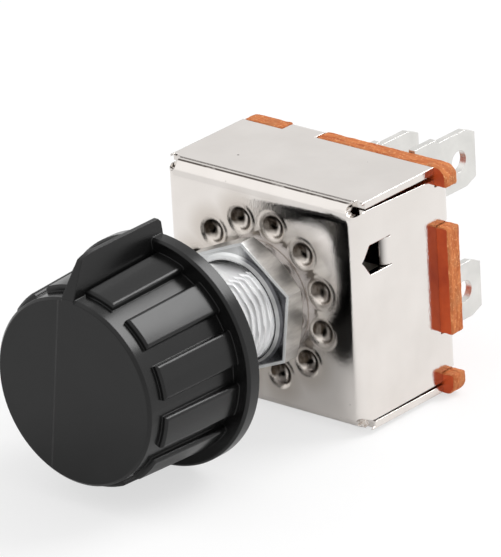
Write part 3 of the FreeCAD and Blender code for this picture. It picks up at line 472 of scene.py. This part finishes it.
def bushing_ring(y, radii):
    """Points around the bushing, cut by its flat ahead of the inside of the sheet."""
    points = []
    for step, radius in enumerate(radii):
        angle = 2 * math.pi * step / RING_STEPS
        z = radius * math.sin(angle)
        if y < SHEET - STEP_GAP:
            z = min(z, FLAT)
        points.append((radius * math.cos(angle), y, z))
    return points


def add_stop_wall(bm):
    """The wall behind the flange that stops the finger of the shaft."""
    inner, outer = WALL_RADII
    corners = ((inner, FLANGE_BACK), (outer, FLANGE_BACK), (outer, WALL_BACK), (inner, WALL_BACK))
    slices = []
    for step in range(WALL_STEPS + 1):
        angle = WALL_START + WALL_TURN * step / WALL_STEPS
        slices.append([bm.verts.new((radius * math.cos(angle), y, radius * math.sin(angle)))
                       for radius, y in corners])
    for before, after in zip(slices, slices[1:]):
        join_rings(bm, before, after)
    bm.faces.new(slices[0])
    bm.faces.new(slices[-1][::-1])


def add_bushing():
    """The bushing, in rings back along its thread and flange and forward through its bore."""
    length = SHEET - BUSHING_FRONT
    steps = int(length / PITCH * ROWS_PER_TURN)
    rows = []
    for step in range(steps + 1):
        y = BUSHING_FRONT + length * step / steps
        rows.append(bushing_ring(y, thread_radii(y)))
    for y, radius in ((SHEET + STEP_GAP, FLANGE), (FLANGE_BACK, FLANGE), (FLANGE_BACK, BORE),
                      (BUSHING_FRONT + BORE_CHAMFER, BORE), (BUSHING_FRONT, BORE + BORE_CHAMFER)):
        rows.append(bushing_ring(y, [radius] * RING_STEPS))
    bm = bmesh.new()
    rings = [[bm.verts.new(point) for point in row] for row in rows]
    for before, after in zip(rings, rings[1:] + rings[:1]):
        join_rings(bm, before, after)
    add_stop_wall(bm)
    piece = new_piece("threaded_bushing", bm)
    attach(piece, "switch")
    smooth(piece, 40)
    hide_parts("bushing")
    piece.data.materials.append(cast_zinc())


# Punched board with torn edges
SPACING = 0.22 * MM
EDGE_ROWS = 9
LOST_EDGE = 0.10 * MM
LOST_CORNER = 0.08 * MM
LOST_RIM = 0.10 * MM
MOST_LOST = 0.35 * MM
RIM_SHARE = 0.2
CORNER_REACH = 0.4 * MM
CORNER_TURN = 0.3
TEAR_SCALE = 1100
ACROSS_LAYERS = 2.2
NEIGHBOURS = 3
SAME_HEIGHT = 0.01 * MM
SAME_SPOT_DIGITS = 7


def laminate():
    """Red fibre laminate: smooth resin faces and torn, paler cut edges."""
    made = Shader("fibre_laminate")
    flat = made.ramp(made.math("ABSOLUTE", made.split("Normal")["Y"]), 0.75, 0.95)
    layers = made.streaks((420, 1900, 420), 4.0, 0.65)
    fibres = made.streaks((3000, 3600, 3000), 4.0, 0.75)
    blotch = made.noise(520, 4.0, 0.65)
    cloud = made.noise(350)
    edge = made.mix(made.ramp(layers, 0.38, 0.62), rgba(0.43, 0.10, 0.024), rgba(0.64, 0.21, 0.065))
    edge = made.mix(made.ramp(blotch, 0.50, 0.68), edge, rgba(0.48, 0.17, 0.060))
    edge = made.mix(made.ramp(fibres, 0.56, 0.68), edge, rgba(0.85, 0.42, 0.18))
    face = made.mix(made.ramp(cloud, 0.3, 0.7), rgba(0.42, 0.045, 0.008), rgba(0.60, 0.085, 0.016))
    made.set(Base_Color=made.mix(flat, edge, face), Roughness=made.between(flat, 0.75, 0.5))
    made.set(Specular_IOR_Level=0.3)
    soft = made.soft_edges(0.12 * MM)
    torn = made.bump(layers, 0.7, 0.22 * MM, made.bump(fibres, 0.6, 0.10 * MM, soft))
    even = made.bump(cloud, 0.2, 0.1 * MM, soft)
    made.set(Normal=made.mix(flat, torn, even, "VECTOR"))
    return made.material


def front_outline(data, front):
    """The outer outline of the board's front face, as points in order."""
    uses = {}
    for polygon in data.polygons:
        height = data.vertices[polygon.vertices[0]].co.y
        if polygon.normal.y < -0.9 and abs(height - front) < SAME_HEIGHT:
            for pair in polygon.edge_keys:
                uses[pair] = uses.get(pair, 0) + 1
    linked = {}
    for pair, count in uses.items():
        if count == 1:
            ends = [data.vertices[index].co.xz for index in pair]
            start, end = (tuple(round(value, SAME_SPOT_DIGITS) for value in spot) for spot in ends)
            linked.setdefault(start, []).append(end)
            linked.setdefault(end, []).append(start)
    loops = []
    while linked:
        loop = [min(linked)]
        while True:
            options = [spot for spot in linked.pop(loop[-1]) if spot in linked]
            if not options:
                break
            loop.append(options[0])
        loops.append(loop)
    outer = max(loops, key=lambda loop: max(x for x, z in loop) - min(x for x, z in loop))
    return [Vector(spot) for spot in outer]


def with_neighbours(points):
    """Each point of a closed outline, between the one before it and the one after it."""
    return list(zip(points[-1:] + points[:-1], points, points[1:] + points[:1]))


def signed_area(points):
    """Twice the area inside a closed outline, negative where it runs clockwise."""
    return sum(before.x * spot.y - spot.x * before.y for before, spot, after in with_neighbours(points))


def turned_left(before, middle, after):
    """How sharply an outline turns at its middle point."""
    first = (middle - before).normalized()
    last = (after - middle).normalized()
    return first.x * last.y - first.y * last.x


def spaced_points(corners):
    """Points at even steps along an outline, each with its direction inwards."""
    points = []
    for start, end in zip(corners, corners[1:] + corners[:1]):
        run = end - start
        steps = max(1, round(run.length / SPACING))
        inward = Vector((-run.y, run.x)).normalized()
        points += [(start + run * (step + 0.5) / steps, inward) for step in range(steps)]
    return points


def averaged_inwards(points):
    """The points again, each direction averaged over its neighbours."""
    averaged = []
    for index, (spot, inward) in enumerate(points):
        total = Vector((0, 0))
        for shift in range(-NEIGHBOURS, NEIGHBOURS + 1):
            total += points[(index + shift) % len(points)][1]
        averaged.append((spot, total.normalized()))
    return averaged


def lost_depth(spot, y, rim, sharp):
    """How deep the edge is torn away, more at a sharp corner and more along the rim."""
    torn = noise.fractal(Vector((spot.x, y * ACROSS_LAYERS, spot.y)) * TEAR_SCALE, 0.8, 2.0, 3)
    near = min((spot - corner).length for corner in sharp)
    worn = max(0.0, 1 - near / CORNER_REACH) ** 2
    depth = LOST_EDGE * (0.35 + 0.5 * torn) + LOST_CORNER * worn + LOST_RIM * rim ** 2
    return min(max(depth, 0.0), MOST_LOST)


def add_board():
    """The laminate board inside its solid's outline, with ragged edges between flat faces."""
    front, back = (corner.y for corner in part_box("terminal_board"))
    corners = front_outline(nodes["terminal_board"].data, front)
    if signed_area(corners) < 0:
        corners.reverse()
    sharp = [trio[1] for trio in with_neighbours(corners) if turned_left(*trio) > CORNER_TURN]
    points = averaged_inwards(spaced_points(corners))
    bm = bmesh.new()
    rings = []
    for row in range(EDGE_ROWS + 1):
        share = row / EDGE_ROWS
        y = front + (back - front) * share
        rim = max(0.0, abs(2 * share - 1) - (1 - RIM_SHARE)) / RIM_SHARE
        places = [spot + inward * lost_depth(spot, y, rim, sharp) for spot, inward in points]
        rings.append([bm.verts.new((place.x, y, place.y)) for place in places])
    for before, after in zip(rings, rings[1:]):
        join_rings(bm, before, after)
    caps = [bm.faces.new(rings[0]), bm.faces.new(rings[-1][::-1])]
    bm.normal_update()
    bmesh.ops.triangulate(bm, faces=caps)
    piece = new_piece("punched_board", bm)
    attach(piece, "switch")
    smooth(piece, 40)
    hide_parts("terminal_board")
    piece.data.materials.append(laminate())


# Moulded pieces
CREASE_TOP = Vector((-1.24, 9.96)) * MM
CREASE_FOOT = Vector((-3.63, -9.49)) * MM
CREASE_FADE = (0.04 * MM, 0.16 * MM)
CREASE_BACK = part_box("knob")[0].y + 0.07 * MM
PALER = 1.35


def face_crease(made, spot):
    """A faint line down the front face of the knob, below the foot of the pointer, paler than the face
    and raised a little in the bump.
    """
    run = CREASE_FOOT - CREASE_TOP
    below = made.math("SUBTRACT", spot["Z"], CREASE_TOP.y)
    line_x = made.math("ADD", made.product(below, run.x / run.y), CREASE_TOP.x)
    away = made.math("ABSOLUTE", made.math("SUBTRACT", spot["X"], line_x))
    in_front = made.math("LESS_THAN", spot["Y"], CREASE_BACK)
    broken = made.ramp(made.streaks((300, 300, 900)), 0.3, 0.6, 0.4, 1.0)
    return made.product(made.fade(away, *CREASE_FADE), in_front, broken)


def moulded(name, colour, gloss, specular, creased):
    """A moulded plastic with faint flow marks, and with the knob's crease where it is asked for."""
    made = Shader(name)
    flow = made.streaks((260, 90, 260))
    base = made.mix(made.ramp(flow, 0.3, 0.7), rgba(*colour), scaled(colour, PALER))
    height = flow
    if creased:
        crease = face_crease(made, made.split("Object"))
        base = made.mix(crease, base, grey(0.026))
        height = made.math("ADD", flow, made.product(crease, 0.8))
    made.set(Base_Color=base, Roughness=made.ramp(flow, 0.3, 0.7, *gloss), Specular_IOR_Level=specular)
    normal = made.bump(made.noise(7000, 2.0), 0.05, 0.02 * MM, made.soft_edges(0.18 * MM))
    made.set(Normal=made.bump(height, 0.08, 0.1 * MM, normal))
    return made.material


# Pieces that keep their CAD form
CIRCUITS = ("supply", "low", "medium", "high")
BLADES = ["terminal_" + circuit for circuit in CIRCUITS]
RIVETS = ["contact_rivet_" + circuit for circuit in CIRCUITS]
BALLS = ["detent_ball_right", "detent_ball_left"]
SPRINGS = ["detent_spring_right", "detent_spring_left", "contact_spring", "knob_clip"]
PLATED = (
    ("zinc_plate", (0.62, 0.61, 0.62), (0.16, 0.26), ["washer"]),
    ("shaft_metal", (0.72, 0.71, 0.69), (0.20, 0.30), ["shaft"]),
    ("tinned_strip", (0.80, 0.79, 0.76), (0.28, 0.40), BLADES),
    ("contact_copper", (0.80, 0.48, 0.30), (0.25, 0.38), RIVETS + ["contact_plate"]),
    ("hard_steel", (0.75, 0.75, 0.76), (0.06, 0.12), BALLS),
    ("spring_wire", (0.58, 0.57, 0.55), (0.20, 0.32), SPRINGS),
)
DARKER = 0.86


def plated(name, colour, gloss):
    """A plated metal with fine grain, and a roughness that clouds between two values."""
    made = Shader(name)
    cloud = made.noise(300)
    base = made.mix(made.ramp(cloud, 0.35, 0.7), scaled(colour, DARKER), rgba(*colour))
    made.set(Base_Color=base, Metallic=1.0, Roughness=made.ramp(cloud, 0.3, 0.7, *gloss))
    normal = made.bump(made.noise(5000, 2.0), 0.15, 0.02 * MM, made.soft_edges(0.08 * MM))
    made.set(Normal=made.bump(cloud, 0.1, 0.1 * MM, normal))
    return made.material


def paint(names, material):
    for name in names:
        materials = nodes[name].data.materials
        materials.clear()
        materials.append(material)


def paint_cad_pieces():
    paint(["housing"], nickel())
    paint(["mounting_nut"], nut_plate())
    for name, colour, gloss, names in PLATED:
        paint(names, plated(name, colour, gloss))
    paint(["rotor"], moulded("nylon", (0.62, 0.60, 0.53), (0.4, 0.5), 0.5, False))
    paint(["knob"], moulded("black_plastic", (0.005, 0.005, 0.005), (0.19, 0.27), 0.31, True))


# Studio
LAMPS = (
    ("key", (0.05, -0.35, 0.75), (0.9, 1.2), 1.0),
    ("side", (0.85, 0.70, 0.30), (1.7, 1.7), 2.8),
    ("rear", (0.26, 0.55, 0.62), (0.5, 0.4), 4.4),
    ("band", (-0.55, -0.30, 0.55), (0.7, 0.9), 0.5),
)
WORLD_LIGHT = 0.62
WORLD_MIRRORED = 0.28
FLOOR_SIZE = 6
FLOOR_GAP = 0.2 * MM
FLOOR_WHITE = 0.65
SHADOW_MIDDLE = (-6 * MM, -14 * MM, 0)
NEAR_MIRRORED = (18 * MM, 50 * MM, 0.12, 0.62)
FAR_MIRRORED = (80 * MM, 150 * MM, 0.0, 0.14)


def add_lamp(name, place, size, power):
    """A rectangular lamp that points at the origin."""
    data = bpy.data.lights.new(name, "AREA")
    data.shape = "RECTANGLE"
    data.size, data.size_y = size
    data.energy = power
    lamp = bpy.data.objects.new(name, data)
    scene.collection.objects.link(lamp)
    lamp.location = place
    lamp.rotation_euler = (-Vector(place)).to_track_quat("-Z", "Y").to_euler()


def add_world():
    """A world that is white where it is seen and dimmer as a light."""
    scene.world = bpy.data.worlds.new("studio")
    scene.world.use_nodes = True
    made = Nodes(scene.world.node_tree)
    rays = made.add("LightPath").outputs
    seen = made.math("MAXIMUM", rays["Is Camera Ray"], rays["Is Transmission Ray"])
    light = made.math("ADD", made.product(rays["Is Glossy Ray"], WORLD_MIRRORED), WORLD_LIGHT)
    background = made.tree.nodes["Background"]
    made.put(background.inputs["Strength"], made.math("MAXIMUM", seen, light))
    made.put(background.inputs["Color"], grey(1))


def floor_paper():
    """White paper that keeps the shadow, and that metal mirrors darker close to the part, a painted
    shadow in its reflections.
    """
    made = Shader("floor_paper")
    made.set(Base_Color=made.mix(made.noise(3.0, 2.0), grey(0.90), grey(0.93)), Roughness=0.9)
    glow = made.add("Emission", {"Color": grey(1), "Strength": 1.0})
    rays = made.add("LightPath").outputs
    ends = {0: made.place["Object"], 1: SHADOW_MIDDLE}
    away = made.add("VectorMath", ends, operation="DISTANCE").outputs["Value"]
    # Painted shadow: the floor mirrored darker near the part
    shade = made.math("ADD", made.ramp(away, *NEAR_MIRRORED, True), made.ramp(away, *FAR_MIRRORED, True))
    seen = made.product(rays["Is Camera Ray"], FLOOR_WHITE)
    share = made.math("MAXIMUM", seen, made.product(rays["Is Glossy Ray"], shade))
    blend = made.add("MixShader", {0: share, 1: made.shader.outputs[0], 2: glow.outputs[0]})
    made.put(made.tree.nodes["Material Output"].inputs["Surface"], blend.outputs[0])
    return made.material


def add_floor():
    """The floor, just under the part."""
    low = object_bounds()[0][2]
    bpy.ops.mesh.primitive_plane_add(size=FLOOR_SIZE, location=(0, 0, low - FLOOR_GAP))
    floor = bpy.context.object
    floor.name = "floor"
    floor.data.materials.append(floor_paper())


add_camera()
add_bushing()
add_board()
paint_cad_pieces()
add_world()
add_floor()
for lamp in LAMPS:
    add_lamp(*lamp)
